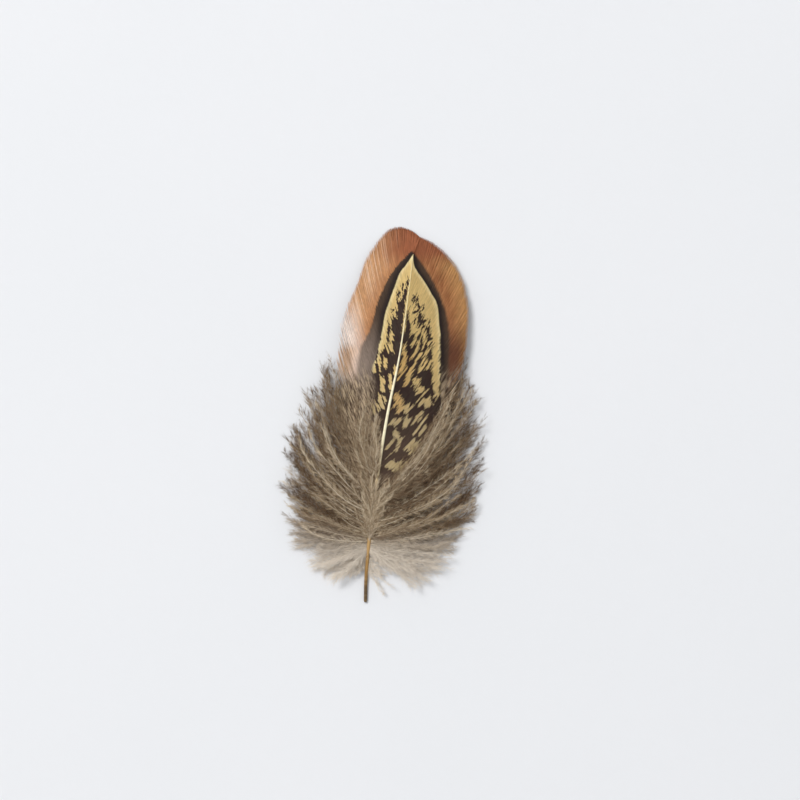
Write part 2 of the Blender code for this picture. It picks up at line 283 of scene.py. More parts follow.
DARK_MARKS = (
    (408.8, 279.6, 405.9, 295.7, 1.1), (403.4, 285.0, 402.3, 289.0, 1.1),
    (399.6, 292.0, 397.9, 298.4, 1.3), (397.2, 300.2, 397.9, 303.3, 1.0),
    (398.3, 304.6, 397.9, 307.3, 0.8), (401.0, 302.9, 400.0, 306.4, 1.0),
    (393.4, 308.2, 392.0, 313.6, 0.7), (397.0, 311.3, 396.5, 315.4, 1.0),
    (388.9, 323.8, 388.9, 329.6, 0.8), (413.5, 295.7, 414.8, 300.6, 1.2),
    (417.5, 298.4, 415.3, 301.5, 1.2), (412.6, 300.2, 413.0, 302.9, 1.0),
    (417.0, 302.9, 419.3, 308.2, 1.2), (415.7, 306.4, 413.9, 308.2, 0.8),
    (413.0, 313.1, 419.7, 310.4, 1.2), (424.2, 305.1, 423.3, 308.7, 0.9),
    (420.2, 312.7, 422.0, 315.8, 1.3), (422.0, 318.0, 421.5, 322.5, 1.2),
    (426.0, 319.4, 423.8, 323.0, 1.0), (429.6, 321.6, 428.2, 323.4, 0.9),
    (407.7, 311.3, 407.2, 320.3, 1.0), (415.3, 318.0, 414.4, 323.0, 1.0),
    (422.9, 327.0, 421.5, 329.6, 1.1), (427.3, 327.0, 426.4, 329.6, 1.3),
    (413.9, 335.2, 411.8, 338.3, 1.2), (418.0, 337.8, 415.9, 339.8, 1.1),
    (421.0, 340.3, 421.5, 347.4, 1.3), (420.5, 349.0, 423.6, 350.5, 1.3),
    (426.1, 345.4, 425.1, 349.0, 1.0), (421.0, 357.7, 417.4, 361.7, 1.0),
    (423.0, 363.8, 421.5, 366.8, 0.7), (407.8, 369.9, 400.6, 379.0, 1.0),
    (412.3, 376.0, 411.8, 379.0, 1.2), (421.0, 398.0, 419.0, 401.5, 0.8),
    (389.5, 427.0, 384.5, 433.0, 1.3), (395.5, 447.5, 388.5, 453.5, 1.0),
)

# Where the photograph's frame is centred, and how much of the surface it shows, in mm.
VIEW_CENTRE = (3.2, 2.85, 2.0)
VIEW_WIDTH = 160.0
SENSOR_WIDTH = 36.0
LENS = 85.0


def srgb(red, green, blue):
    """A colour given in display values from 0 to 255, as linear light."""
    shares = [value / 255 for value in (red, green, blue)]
    return tuple(s / 12.92 if s <= 0.04045 else ((s + 0.055) / 1.055) ** 2.4 for s in shares)


def smooth(table, at):
    """The columns after the first of a table, read on a smooth curve that never overshoots its rows."""
    rows = np.array(table, float)
    place = rows[:, 0]
    at = np.asarray(at, float)
    rise = np.diff(rows[:, 1:], axis=0) / np.diff(place)[:, None]
    before, after = rise[:-1], rise[1:]
    turning = before * after <= 0
    total = np.where(turning, 1.0, before + after)
    inner = np.where(turning, 0.0, 2 * before * after / total)
    slope = np.vstack((rise[:1], inner, rise[-1:]))
    row = np.clip(np.searchsorted(place, at) - 1, 0, len(place) - 2)
    span = (place[row + 1] - place[row])[..., None]
    t = np.clip((at - place[row])[..., None] / span, 0.0, 1.0)
    keep = 2 * t**3 - 3 * t**2 + 1
    return (
        keep * rows[row, 1:]
        + (1 - keep) * rows[row + 1, 1:]
        + (t**3 - 2 * t**2 + t) * span * slope[row]
        + (t**3 - t**2) * span * slope[row + 1]
    )


def shaft_points(y):
    """Points on the shaft's middle line at these y, in mm."""
    found = smooth(SHAFT_LINE, y)
    return np.stack((found[..., 0], np.asarray(y, float), found[..., 1]), axis=-1)


def circle(sides):
    """Points on a circle of radius 1."""
    turns = np.arange(sides) / sides * 2 * np.pi
    return np.stack((np.cos(turns), np.sin(turns)), axis=-1)


def between(span, share):
    return span[0] + (span[1] - span[0]) * share


def unit(vectors):
    return vectors / np.maximum(np.linalg.norm(vectors, axis=-1, keepdims=True), 1e-12)


def ease(low, high, value):
    """0 at low and before it, 1 at high and past it, smooth between."""
    t = np.clip((value - low) / (high - low), 0.0, 1.0)
    return t * t * (3 - 2 * t)


def bent_lines(roots, tips, side, bow, crown, shares):
    """Points along barbs that leave the shaft wide and bend towards the vane's tip."""
    across = tips - roots
    flat = np.zeros(len(roots))
    outward = np.stack((side * across[:, 1], -side * across[:, 0], flat), axis=-1)
    lift = UP * np.broadcast_to(crown, len(roots))[:, None]
    middle = (roots + tips) / 2 + np.broadcast_to(bow, len(roots))[:, None] * outward + lift
    s = shares[..., None]
    if s.ndim == 2:
        s = s[None]
    return (1 - s) ** 2 * roots[:, None] + 2 * s * (1 - s) * middle[:, None] + s**2 * tips[:, None]


class Cloth:
    """Closed shapes made in bulk, kept as arrays until they become one mesh."""

    def __init__(self):
        self.points = []
        self.corners = []
        self.sizes = []
        self.maps = []
        self.values = {}
        self.count = 0

    def add(self, points, sets, **values):
        """Adds points (n, 3), sets of faces of equal size with their map corners, and points' values."""
        for faces, flat_map in sets:
            self.corners.append((faces + self.count).ravel())
            self.sizes.append(np.full(len(faces), faces.shape[1]))
            self.maps.append(flat_map.reshape(-1, 2))
        self.points.append(points)
        self.count += len(points)
        for name, value in values.items():
            self.values.setdefault(name, []).append(value)

    def object(self, name):
        """The mesh object of everything added."""
        mesh = bpy.data.meshes.new(name)
        points = np.concatenate(self.points) * MM
        corners = np.concatenate(self.corners)
        sizes = np.concatenate(self.sizes)
        starts = np.concatenate(([0], np.cumsum(sizes)[:-1]))
        mesh.vertices.add(len(points))
        mesh.vertices.foreach_set("co", points.astype(np.float32).ravel())
        mesh.loops.add(len(corners))
        mesh.loops.foreach_set("vertex_index", corners.astype(np.int32))
        mesh.polygons.add(len(sizes))
        mesh.polygons.foreach_set("loop_start", starts.astype(np.int32))
        mesh.update(calc_edges=True)
        flat = mesh.uv_layers.new(name="OFBake")
        flat.data.foreach_set("uv", np.concatenate(self.maps).astype(np.float32).ravel())
        for key, parts in self.values.items():
            value = np.concatenate(parts).astype(np.float32)
            kind = "FLOAT" if value.ndim == 1 else "FLOAT_VECTOR"
            layer = mesh.attributes.new(key, kind, "POINT")
            layer.data.foreach_set("value" if value.ndim == 1 else "vector", value.ravel())
        mesh.shade_smooth()
        made = bpy.data.objects.new(name, mesh)
        bpy.context.scene.collection.objects.link(made)
        return made


def sweep(cloth, lines, section, width, height, roll, lanes, **values):
    """Adds closed strips with this cross-section along many lines of equal length.

    lanes is the share of each strip's row of the flat map that it fills, and the number of lanes
    that its sides are laid out in."""
    strips, steps, _ = lines.shape
    sides = len(section)
    tangent = unit(np.gradient(lines, axis=1))
    across = unit(np.cross(tangent, UP))
    over = np.cross(across, tangent)
    turn = np.broadcast_to(roll, (strips, steps))[..., None]
    leaned = across * np.cos(turn) + over * np.sin(turn)
    raised = over * np.cos(turn) - across * np.sin(turn)
    sx = section[:, 0][:, None] * np.broadcast_to(width, (strips, steps))[..., None, None]
    sz = section[:, 1][:, None] * np.broadcast_to(height, (strips, steps))[..., None, None]
    points = lines[:, :, None] + leaned[:, :, None] * sx + raised[:, :, None] * sz
    ids = np.arange(strips * steps * sides).reshape(strips, steps, sides)
    ahead = np.roll(ids, -1, axis=2)
    quads = np.stack((ids[:, :-1], ahead[:, :-1], ahead[:, 1:], ids[:, 1:]), axis=-1)
    share, sheets = lanes
    place = np.linspace(0.004, 0.996, steps)
    row = (np.arange(strips) + 0.04) / strips
    lane = share * 0.92 / strips / sheets
    low = (row[:, None] + lane * (np.arange(sides) % sheets))[:, None]
    u0, u1, v0 = np.broadcast_arrays(place[:-1, None], place[1:, None], low)
    v1 = v0 + lane
    flat = np.stack((u0, v0, u0, v1, u1, v1, u1, v0), axis=-1)
    for key, value in values.items():
        depth = value.shape[2:]
        full = np.broadcast_to(value, (strips, steps) + depth).reshape((-1,) + depth)
        values[key] = full.repeat(sides, axis=0)
    caps = np.concatenate((ids[:, 0, ::-1], ids[:, -1]))
    spots = np.stack((np.full(strips, place[0]), row + lane / 2), axis=-1)
    ends = np.stack((np.full(strips, place[-1]), row + lane / 2), axis=-1)
    around = np.concatenate((spots, ends))[:, None].repeat(sides, axis=1)
    cloth.add(points.reshape(-1, 3), ((quads.reshape(-1, 4), flat), (caps, around)), **values)


class Value:
    """A number on a surface. What is done with it in Python adds Math nodes."""

    def __init__(self, surface, socket):
        self.surface = surface
        self.socket = socket

    def math(self, operation, *others):
        inputs = dict(enumerate((self, *others)))
        return self.surface.node("ShaderNodeMath", {"operation": operation}, inputs)

    def __add__(self, other):
        return self.math("ADD", other)

    __radd__ = __add__

    def __mul__(self, other):
        return self.math("MULTIPLY", other)

    __rmul__ = __mul__

    def __sub__(self, other):
        return self.math("SUBTRACT", other)

    def __rsub__(self, other):
        return self * -1.0 + other

    def rise(self, low, high):
        """0 at low and before it, 1 at high and past it, smooth between."""
        settings = {"interpolation_type": "SMOOTHSTEP"}
        inputs = {"Value": self, "From Min": low, "From Max": high}
        return self.surface.node("ShaderNodeMapRange", settings, inputs)


class Surface:
    """One material's nodes."""

    def __init__(self, name, roughness, specular):
        self.material = bpy.data.materials.new(name)
        self.material.use_nodes = True
        self.tree = self.material.node_tree
        self.shader = self.tree.nodes["Principled BSDF"]
        self.shader.inputs["Specular IOR Level"].default_value = specular
        self.shader.inputs["Roughness"].default_value = roughness

    def node(self, kind, settings=None, inputs=None, output=0):
        """Any node: its settings first, then the values or links of its sockets."""
        made = self.tree.nodes.new(kind)
        for key, value in (settings or {}).items():
            if key == "stops":
                self.fill_ramp(made.color_ramp, value)
            elif key == "points":
                self.fill_curve(made.mapping, value)
            else:
                setattr(made, key, value)
        for key, value in (inputs or {}).items():
            self.put(made.inputs[key], value)
        return Value(self, made.outputs[output])

    def fill_ramp(self, ramp, stops):
        while len(ramp.elements) < len(stops):
            ramp.elements.new(1.0)
        for element, (place, colour) in zip(ramp.elements, stops):
            element.position = place
            element.color = (*colour, 1.0)

    def fill_curve(self, mapping, points):
        curve = mapping.curves[0]
        while len(curve.points) < len(points):
            curve.points.new(1.0, 1.0)
        for point, place in zip(curve.points, points):
            point.location = place
        mapping.update()

    def put(self, socket, value):
        if isinstance(value, Value):
            self.tree.links.new(value.socket, socket)
        elif socket.type == "RGBA":
            socket.default_value = (*value, 1.0)
        else:
            socket.default_value = value

    def attribute(self, name, part=None):
        """A value kept at the mesh's points, or one part of a vector kept there."""
        settings = {"attribute_type": "GEOMETRY", "attribute_name": name}
        if part is None:
            return self.node("ShaderNodeAttribute", settings, output="Fac")
        vector = self.node("ShaderNodeAttribute", settings, output="Vector")
        return self.node("ShaderNodeSeparateXYZ", None, {0: vector}, "XYZ".index(part))

    def vector(self, x, y, z=0.0):
        return self.node("ShaderNodeCombineXYZ", None, {0: x, 1: y, 2: z})

    def noise(self, vector, scale, detail=2.0, roughness=0.5):
        inputs = {"Vector": vector, "Scale": scale, "Detail": detail, "Roughness": roughness}
        return self.node("ShaderNodeTexNoise", None, inputs)

    def mix(self, factor, below, above, blend="MIX"):
        settings = {"data_type": "RGBA", "blend_type": blend, "clamp_factor": True}
        return self.node("ShaderNodeMix", settings, {0: factor, 6: below, 7: above}, 2)

    def edge(self, y, table):
        """The x of a mark's edge at this y, on a smooth curve through the table's rows."""
        rows = np.array(table, float)
        low = rows.min(axis=0)
        span = rows.max(axis=0) - low
        points = [tuple(p) for p in (rows - low) / span]
        share = (y - float(low[0])) * float(1 / span[0])
        read = self.node("ShaderNodeFloatCurve", {"points": points}, {"Value": share})
        return read * float(span[1]) + float(low[1])

    def finish(self, colour, height, strength, distance, roughness=None):
        self.put(self.shader.inputs["Base Color"], colour)
        if roughness is not None:
            self.put(self.shader.inputs["Roughness"], roughness)
        bump = {"Strength": strength, "Distance": distance, "Height": height}
        self.put(self.shader.inputs["Normal"], self.node("ShaderNodeBump", None, bump))
        return self.material


def vane_material(colours):
    """Copper barbs with a buff almond mark, dark mottling and a dark band."""
    s = Surface("vane_barbs", 0.55, 0.22)
    x = s.attribute("plan", "X")
    y = s.attribute("plan", "Y")
    station = s.attribute("barb", "X")
    distance = s.attribute("barb", "Y")
    share = s.attribute("barb", "Z")
    luck = s.attribute("luck")
    mottle = s.attribute("mottle")
    streak = s.noise(s.vector(station * 9.0, distance * 0.9), 1.0, 3.0, 0.6)
    strand = s.noise(s.vector(station * 3.0, distance * 0.5), 1.0, 2.0, 0.6)
    cloud = s.noise(s.vector(station * 0.5, distance * 0.35), 1.0, 2.0, 0.6)
    right = x.rise(*SIDES)
    left = 1.0 - right
    ragged = (luck - 0.5) * 0.6 + (streak - 0.5) * 0.8

    brown = s.mix(cloud.rise(0.3, 0.7), colours.chestnut, colours.copper)
    summit = (y + streak * 3.0).rise(*SUMMIT) * x.rise(-4.0, 5.0)
    lit = s.mix(left * share.rise(0.4, 0.9) * (0.85 - summit * 0.6), brown, colours.copper_light)
    fringe = s.mix(right * share.rise(0.72, 0.98) * 0.85, lit, colours.fringe)
    # Painted shade: the lower right of the rim is darkened towards a deep umber.
    shade = right * (1.0 - y.rise(*RIM_SHADE_TOP)) * (1.0 - share.rise(0.85, 1.0) * 0.5)
    low = s.mix(shade * 0.95, fringe, colours.rim_shade)
    top = s.mix(summit, low, colours.tip)
    reach = share.rise(0.45, 0.95)
    blush = (1.0 - (y - reach * 8.0 + ragged * 3.0).rise(*PINK_TOP)) * left * (reach * 0.5 + 0.5)
    pink = s.mix(blush, top, colours.pink)
    patch = y.rise(*AMBER_TOP) * (y + ragged * 2.0).rise(*AMBER_FOOT) * left * share.rise(0.55, 0.8)
    amber = s.mix(patch * 0.85, pink, colours.amber)
    flank = (1.0 - (y - left * 2.0 + ragged * 2.0).rise(*FLANK_TOP)) * share.rise(0.3, 0.6)
    outer = s.mix(flank, amber, colours.flank)
    thread = luck.rise(0.66, 0.74) * share.rise(0.55, 0.85) * left * (1.0 - summit)
    outer = s.mix(thread * 0.34, outer, colours.thread)

    wobble = (streak - 0.5) * 0.3
    fade = (1.0 - y.rise(*BAND_FADE)) * left
    to_left = s.edge(y, ALMOND_LEFT)
    to_right = s.edge(y, ALMOND_RIGHT)
    depth_left = (x - s.edge(y, BAND_LEFT)) + ragged * 0.5
    depth_right = (s.edge(y, BAND_RIGHT) - x) + ragged * 0.5
    band = depth_left.rise(-0.16 - fade * 0.5, 0.16 + fade * 0.5) * depth_right.rise(-0.45, 0.35)
    band = band * (1.0 - (y + wobble).rise(*BAND_TOP))
    near = (to_left - x).rise(1.7, 0.4) * (x - to_right).rise(1.3, 0.3)
    faded = s.mix(fade, colours.band_outer, colours.band_faded)
    dark = s.mix(near * (1.0 - fade * 0.75), faded, colours.band)
    banded = s.mix(band, outer, dark)
    wisps = s.mix(strand.rise(0.36, 0.64), colours.down_dark, colours.down_light)
    banded = s.mix((y + ragged * 5.0).rise(*WISPS_TOP) * 0.85, banded, wisps)

    soft = 1.0 - y.rise(*ALMOND_SOFT)
    torn = (cloud - 0.5) * 4.0 * soft
    al_left = (x - to_left + wobble * 0.7 + torn).rise(-0.08 - soft * 0.4, 0.1 + soft * 2.1)
    al_right = (to_right - x + wobble * 0.7).rise(-0.08, 0.1)
    almond = al_left * al_right * (1.0 - y.rise(*ALMOND_TOP))
    lower = 1.0 - y.rise(*BUFF_TURN)
    buff = s.mix(lower, colours.buff, colours.buff_low)
    toned = s.mix((streak - 0.38) * 2.2, buff, colours.buff_deep)
    beside = x - y * 0.19 - 0.7
    ochre = y.rise(*OCHRE_FOOT) * y.rise(*OCHRE_TOP) * beside.rise(-0.2, 0.3) * beside.rise(4.0, 2.0)
    warmed = s.mix(ochre * 0.65, toned, colours.ochre)
    rim = (x - to_left).rise(0.9, 0.1) + (to_right - x).rise(1.0, 0.1) * y.rise(4.0, 9.0)
    warmed = s.mix(rim * 0.6, warmed, colours.buff_edge)
    shape = mottle + (streak - 0.5) * 1.5
    olive = s.mix(cloud.rise(0.35, 0.65), colours.ink, colours.ink_olive)
    ink = s.mix(1.0 - y.rise(*INK_TURN), olive, colours.ink_low)
    marked = s.mix(shape.rise(-0.22, 0.28), warmed, ink)
    patterned = s.mix(almond, banded, marked)

    base = s.mix(1.0 - (y + (streak - 0.5) * 4.0).rise(*VANE_FOOT), patterned, wisps)
    tint = 0.2 * luck + 0.6 * streak + 0.8 * strand + 0.2
    shaded = s.mix(1.0, base, s.vector(tint, tint, tint), "MULTIPLY")
    ribs = s.node(
        "ShaderNodeTexWave",
        {"wave_type": "BANDS", "bands_direction": "X"},
        {"Vector": s.vector(distance * 2.6 + station, station * 0.5), "Scale": 1.0, "Distortion": 0.6},
        "Fac",
    )
    return s.finish(shaded, ribs + streak, 0.3, 0.00004, 0.45 + streak * 0.25)


def shaft_material(colours):
    """A cream shaft that turns amber and then olive towards the quill's end."""
    s = Surface("shaft_keratin", 0.35, 0.5)
    y = s.attribute("along", "X")
    turn = s.attribute("along", "Y")
    stops = (
        (0.0, colours.quill_end),
        (0.035, colours.quill_end),
        (0.10, colours.quill),
        (0.27, colours.quill_pale),
        (0.48, colours.rachis),
        (0.70, colours.rachis),
        (0.84, colours.buff_edge),
    )
    share = (y + HALF_LENGTH) * (1 / 70.0)
    tone = s.node("ShaderNodeValToRGB", {"stops": stops}, {"Fac": share})
    grain = s.noise(s.vector(turn * 4.0, y * 0.35), 3.0, 4.0, 0.6)
    lines = s.mix((grain - 0.45) * 1.6, tone, colours.rachis_shadow)
    return s.finish(lines, grain, 0.3, 0.00004, 0.25 + grain * 0.3)


def down_material(colours):
    """Grey-brown down with pale barbs, whitish near the quill; its dark depths are painted shade."""
    s = Surface("down", 0.8, 0.15)
    luck = s.attribute("luck")
    root = s.attribute("fluff", "X")
    share = s.attribute("fluff", "Y")
    stem = s.attribute("fluff", "Z")
    cloud = s.noise(s.vector(root * 0.9, share * 3.0, luck * 7.0), 1.0, 2.0, 0.6)
    pale = luck * 0.62 + stem * (luck * 0.5 + 0.1) + (cloud - 0.5) * 0.3 + share * 0.08
    stops = (
        (0.0, colours.down_dark),
        (0.30, colours.down_mid),
        (0.62, colours.down_light),
        (1.0, colours.down_stem),
    )
    tone = s.node("ShaderNodeValToRGB", {"stops": stops}, {"Fac": pale})
    base = (1.0 - root.rise(*PALE_DOWN_TOP)) * 0.9
    whitened = s.mix(base, tone, colours.down_base)
    return s.finish(whitened, cloud, 0.2, 0.00003)


def floor_material(colours):
    """Pale matt card with a faint tooth."""
    s = Surface("floor_card", 1.0, 0.0)
    place = s.node("ShaderNodeTexCoord", None, None, "Object")
    tooth = s.noise(place, 900.0, 3.0, 0.6)
    cloud = s.noise(place, 14.0, 2.0, 0.5)
    tone = s.mix(cloud, colours.floor, colours.floor_shade)
    return s.finish(tone, tooth, 0.08, 0.0002)


def colour_property(name, description, *display):
    return FloatVectorProperty(
        name=name, description=description, default=srgb(*display), subtype="COLOR", min=0, max=1
    )


def count_property(name, description, default, least):
    return IntProperty(name=name, description=description, default=default, min=least)


def length_property(name, description, millimetres, precision=5):
    return FloatProperty(
        name=name, description=description, default=millimetres * MM, unit="LENGTH", precision=precision
    )


class FeatherSizes(bpy.types.PropertyGroup):
    """Counts and sizes of the feather's fine parts."""

    left_barbs: count_property("Left barbs", "Barbs in the left vane", 270, 20)
    right_barbs: count_property("Right barbs", "Barbs in the wider right vane", 340, 20)
    barb_thickness: length_property("Barb thickness", "Height of a vane barb's ridge", 0.055)
    down_barbs: count_property("Down barbs", "Downy barbs in each of the four tufts", 92, 4)
    barbules: count_property("Barbules", "Fine hairs on each downy barb", 840, 10)
    front_barbs: count_property("Front barbs", "Short downy barbs in front of the shaft", 76, 2)
    front_barbules: count_property("Front barbules", "Fine hairs on each short barb", 540, 10)
    base_barbs: count_property("Base barbs", "Sparse pale barbs round the quill", 30, 2)
    slip: length_property("Slip", "How far marks are out of line from barb to barb", 0.34)
    barbule_length: length_property("Barbule length", "Longest hair of a downy barb", 1.7)
    barbule_width: length_property("Barbule width", "Widest place of a hair", 0.024, 6)


class FeatherColours(bpy.types.PropertyGroup):
    """Colours of the feather's parts."""

    chestnut: colour_property("Chestnut", "Darker tone of the vane's rim", 151, 95, 57)
    copper: colour_property("Copper", "Lighter tone of the vane's rim", 180, 123, 79)
    copper_light: colour_property("Light copper", "Left edge of the vane", 216, 164, 118)
    tip: colour_property("Tip", "Red-brown at the top of the vane", 150, 88, 57)
    # Painted shade laid over the lower right of the rim, a deep umber.
    rim_shade: colour_property("Umber", "Lower right of the rim", 104, 62, 42)
    fringe: colour_property("Fringe", "Golden right edge", 196, 147, 92)
    flank: colour_property("Flank", "Lower sides of the vane", 118, 94, 72)
    amber: colour_property("Amber", "Orange-brown patch of the lower left rim", 196, 152, 112)
    thread: colour_property("Thread", "Pale single barbs of the left rim", 240, 220, 200)
    pink: colour_property("Pink", "Pinkish cream of the lower left rim", 246, 228, 216)
    band: colour_property("Band", "Dark band along the almond", 40, 28, 24)
    band_outer: colour_property("Outer band", "Brown outer side of the band", 74, 56, 42)
    band_faded: colour_property("Faded band", "Where the band fades at the lower left", 142, 125, 112)
    buff: colour_property("Buff", "Almond mark", 222, 193, 130)
    buff_edge: colour_property("Buff edge", "Paler edge of the almond mark", 238, 221, 168)
    buff_deep: colour_property("Deep buff", "Deeper streaks of the almond mark", 184, 154, 98)
    buff_low: colour_property("Low buff", "Pale marks low on the vane", 192, 174, 136)
    ochre: colour_property("Ochre", "Warm marks beside the shaft", 204, 162, 98)
    ink: colour_property("Ink", "Dark mottling", 52, 34, 29)
    ink_olive: colour_property("Olive ink", "Second tone of the mottling", 60, 47, 38)
    ink_low: colour_property("Low ink", "Mottling low on the vane", 82, 64, 52)
    # The darkest tone of the down and of the wisps at the vane's foot; in the down's depths it is
    # painted shade.
    down_dark: colour_property("Dark down", "Depths of the down", 76, 57, 42)
    down_mid: colour_property("Down", "Main colour of the down", 127, 104, 80)
    down_light: colour_property("Light down", "Paler barbs and tips", 188, 166, 136)
    down_base: colour_property("Base down", "Whitish down by the quill", 238, 228, 214)
    down_stem: colour_property("Down stem", "Stems of the downy barbs", 240, 226, 200)
    quill_end: colour_property("Quill end", "Olive-brown end of the quill", 84, 62, 34)
    quill: colour_property("Quill", "Amber quill", 168, 126, 66)
    quill_pale: colour_property("Pale quill", "Where the quill turns pale", 214, 182, 130)
    rachis: colour_property("Shaft", "Cream shaft", 252, 243, 208)
    rachis_shadow: colour_property("Shaft streaks", "Darker streaks of the shaft", 190, 160, 108)
    floor: colour_property("Floor", "Pale card", 236, 237, 240)
    floor_shade: colour_property("Floor shade", "Second tone of the card", 232, 234, 237)


def wear(piece, material):
    """Gives a piece its material and says what it stands for."""
    piece.data.materials.append(material)
    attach(piece, BODY)
    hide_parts(NODE)


class FEATHER_OT_shaft(bpy.types.Operator):
    """Add the quill and shaft"""

    bl_idname = "feather.shaft"
    bl_label = "Shaft"

    def execute(self, context):
        y = np.linspace(-HALF_LENGTH, SHAFT_LINE[-1][0], SHAFT_RINGS)
        line = shaft_points(y)[None]
        radius = smooth(SHAFT_RADIUS, y)[:, 0][None]
        cloth = Cloth()
        along = np.stack((y, y * 0, y * 0), axis=-1)[None]
        lanes = (1.0, SHAFT_SIDES)
        sweep(cloth, line, circle(SHAFT_SIDES), radius, radius * 0.9, 0.0, lanes, along=along)
        piece = cloth.object("shaft")
        wear(piece, shaft_material(context.scene.feather_colours))
        return {"FINISHED"}


def spread_roots(table, count):
    """The y of each barb's root, so that barbs are spaced evenly at the edge and on the shaft."""
    y = np.linspace(table[0][0], table[-1][0], 900)
    ends = smooth(table, y)
    edge = np.concatenate(([0.0], np.cumsum(np.linalg.norm(np.diff(ends, axis=0), axis=1))))
    root = y - y[0]
    reached = EDGE_SPACING_SHARE * edge / edge[-1] + (1 - EDGE_SPACING_SHARE) * root / root[-1]
    return np.interp((np.arange(count) + 0.5) / count, reached, y)


def grouped(luck, values, smallest, largest):
    """The mean of the values over runs of neighbouring barbs that cling together."""
    means = np.empty_like(values)
    start = 0
    while start < len(values):
        stop = start + int(luck.integers(smallest, largest))
        means[start:stop] = values[start:stop].mean(axis=0)
        start = stop
    return means


def paint(level, at, strokes, value):
    """Lays strokes with round ends over a level, each with a soft edge."""
    for x0, y0, x1, y1, half in strokes:
        run = np.array((x1 - x0, y1 - y0))
        share = ((at - (x0, y0)) @ run / max(run @ run, 1e-6)).clip(0.0, 1.0)[..., None]
        far = np.linalg.norm(at - (x0, y0) - share * run, axis=-1) / half
        level = level + (value - level) * (1 - ease(0.55, 1.45, far))
    return level


def mottling(points):
    """How dark the mottling is at these points, from -1 to 1."""
    at = np.stack(
        (points[..., 0] / PIXEL + FRAME_ZERO[0], FRAME_ZERO[1] - points[..., 1] / PIXEL), axis=-1
    )
    level = 2 * ease(MOTTLE_START, MOTTLE_FULL, at[..., 1]) - 1
    level = paint(level, at, DARK_GROUND, 1.0)
    level = paint(level, at, PALE_MARKS, -1.0)
    return paint(level, at, DARK_MARKS, 1.0)


def add_vane(name, table, side, lift, count, sizes, luck):
    """All the barbs of one vane in one piece."""
    y = spread_roots(table, count)
    station = (y - table[0][0]) / (table[-1][0] - table[0][0])
    roots = shaft_points(y)
    ends = smooth(table, y)
    frayed = ease(*FRAY[side > 0], ends[:, 1])
    cling = (0.04 + 0.40 * frayed)[:, None]
    ends = ends + cling * (grouped(luck, ends, *CLING_RUNS) - ends)
    edge_z = smooth(VANE_EDGE_HEIGHT, ends[:, 1])[:, 0]
    tips = np.column_stack((ends, edge_z + lift * station))
    shorter = luck.random(count) ** 2 * (0.012 + 0.07 * frayed)
    tips = roots + (tips - roots) * (1 - shorter)[:, None]
    shares = np.linspace(0.0, 1.0, VANE_STEPS) ** 1.2
    crown = VANE_CROWN * (1 - station)
    bow = VANE_BOW * (1 - ease(0.86, 1.0, station))
    lines = bent_lines(roots, tips, side, bow, crown, shares)
    strands = luck.normal(0.0, 1.0, (count, 1, 3)) * np.array(BARB_STRAY)
    lines = lines + strands * (shares**4)[None, :, None] * (0.4 + 1.8 * frayed)[:, None, None]
    heading = unit(np.gradient(lines, axis=1))
    across = unit(np.cross(heading, UP))
    gap = np.abs((np.gradient(lines, axis=0) * across).sum(axis=-1))
    narrow = 1 - ease(0.93, 1.0, shares)[None] * 0.8
    loose = 1 - (ease(0.60, 1.0, shares)[None] * frayed[:, None]) * 0.55
    width = np.clip(gap, *BARB_SPACING) * BARB_OVERLAP * narrow * loose
    step = np.linalg.norm(np.diff(lines, axis=1), axis=-1)
    distance = np.concatenate((np.zeros((count, 1)), np.cumsum(step, axis=1)), axis=1)
    slip = luck.normal(0.0, sizes.slip / MM, (count, 1))
    ones = np.ones((count, VANE_STEPS))
    barb = np.stack((ones * y[:, None] * side, distance, ones * shares), axis=-1)
    chance = luck.random((count, 1)) * ones
    section = np.array(BARB_SECTION)
    thick = sizes.barb_thickness / MM * (1 - 0.7 * shares)[None] * ones
    cloth = Cloth()
    sweep(
        cloth, lines, section, width, thick, BARB_ROLL * side, (1.0, 1),
        plan=lines, barb=barb, luck=chance, mottle=mottling(lines + heading * slip[..., None]),
    )
    return cloth.object(name)


class FEATHER_OT_vanes(bpy.types.Operator):
    """Add the barbs of both vanes"""

    bl_idname = "feather.vanes"
    bl_label = "Vanes"

    def execute(self, context):
        sizes = context.scene.feather_sizes
        material = vane_material(context.scene.feather_colours)
        luck = np.random.default_rng(SEED)
        vanes = (
            ("vane_left", LEFT_VANE, -1, LEFT_VANE_LIFT, sizes.left_barbs),
            ("vane_right", RIGHT_VANE, 1, 0.0, sizes.right_barbs),
        )
        for name, table, side, lift, count in vanes:
            wear(add_vane(name, table, side, lift, count, sizes, luck), material)
        return {"FINISHED"}


